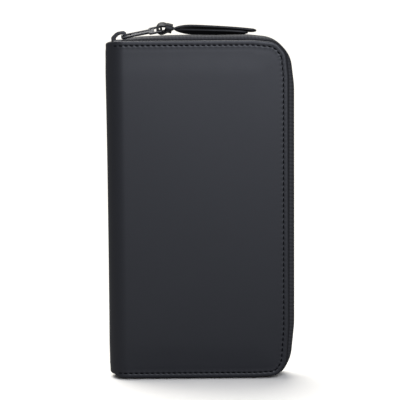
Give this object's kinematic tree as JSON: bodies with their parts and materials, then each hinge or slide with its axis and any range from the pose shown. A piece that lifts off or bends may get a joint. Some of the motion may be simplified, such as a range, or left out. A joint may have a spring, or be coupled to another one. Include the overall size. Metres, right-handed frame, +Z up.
{
  "type": "travel document organizer",
  "caption": "Tall zip-around travel document organizer with a rounded spine, hinged halves, inner ticket pockets and card slots, and a leather strap tied to the zip pull.",
  "frame": {"origin": "middle of the footprint, on the surface the organizer stands on (bottom centre of the bounding box)", "axes": "+Z up the long side, -Y out of the front cover, -X towards the rounded spine and +X towards the long zip side"},
  "size_m": [0.12, 0.024, 0.2309],
  "materials": {
    "cover_leather": "matte coated black",
    "strap_leather": "matte coated black, painted edge",
    "pocket_leather": "fine grain black",
    "lining": "plain weave black",
    "padding": "grey foam sheet",
    "stiffener": "grey board",
    "zip_tape": "woven black",
    "zip_coil": "satin black nylon",
    "zip_metal": "black electroplate"
  },
  "bodies": {
    "back_half": {"back_cover": "cover_leather", "back_padding": "padding", "back_board": "stiffener", "back_lining": "lining", "back_zip_tape": "zip_tape", "back_zip_coil": "zip_coil", "back_ticket_pocket": "pocket_leather", "passport_sleeve": "pocket_leather"},
    "spine": {"spine_cover": "cover_leather", "spine_padding": "padding", "spine_lining": "lining"},
    "front_half": {"front_cover": "cover_leather", "front_padding": "padding", "front_board": "stiffener", "front_lining": "lining", "front_zip_tape": "zip_tape", "front_zip_coil": "zip_coil", "front_ticket_pocket": "pocket_leather", "card_slot_lower_1": "pocket_leather", "card_slot_lower_2": "pocket_leather", "card_slot_lower_3": "pocket_leather", "card_slot_lower_4": "pocket_leather", "card_slot_upper_1": "pocket_leather", "card_slot_upper_2": "pocket_leather", "card_slot_upper_3": "pocket_leather", "card_slot_upper_4": "pocket_leather"},
    "slider": {"slider_body": "zip_metal", "slider_bail": "zip_metal"},
    "pull": {"pull_frame": "zip_metal"},
    "strap": {"pull_strap": "strap_leather"}
  },
  "joints": [
    {"name": "spine_fold", "type": "hinge", "parent": "back_half", "child": "spine", "pos_m": [-0.05742, 0.00942, 0], "axis": [0, 0, -1], "range_deg": [0, 90]},
    {"name": "cover_open", "type": "hinge", "parent": "spine", "child": "front_half", "pos_m": [-0.05742, -0.00942, 0], "axis": [0, 0, -1], "range_deg": [0, 90]},
    {"name": "slider_travel", "type": "slide", "parent": "back_half", "child": "slider", "axis": [0.9968, 0, 0.0802], "range_m": [0, 0.038]},
    {"name": "pull_swing", "type": "hinge", "parent": "slider", "child": "pull", "pos_m": [-0.0494, 0, 0.2216], "axis": [0, -1, 0], "range_deg": [0, 150]},
    {"name": "strap_swing", "type": "hinge", "parent": "pull", "child": "strap", "pos_m": [-0.02457, 0, 0.22643], "axis": [0.0653, -0.9397, -0.3357], "range_deg": [0, 45]}
  ],
  "couplings": [
    {"joint": "spine_fold", "follows": "cover_open", "ratio": 1}
  ]
}
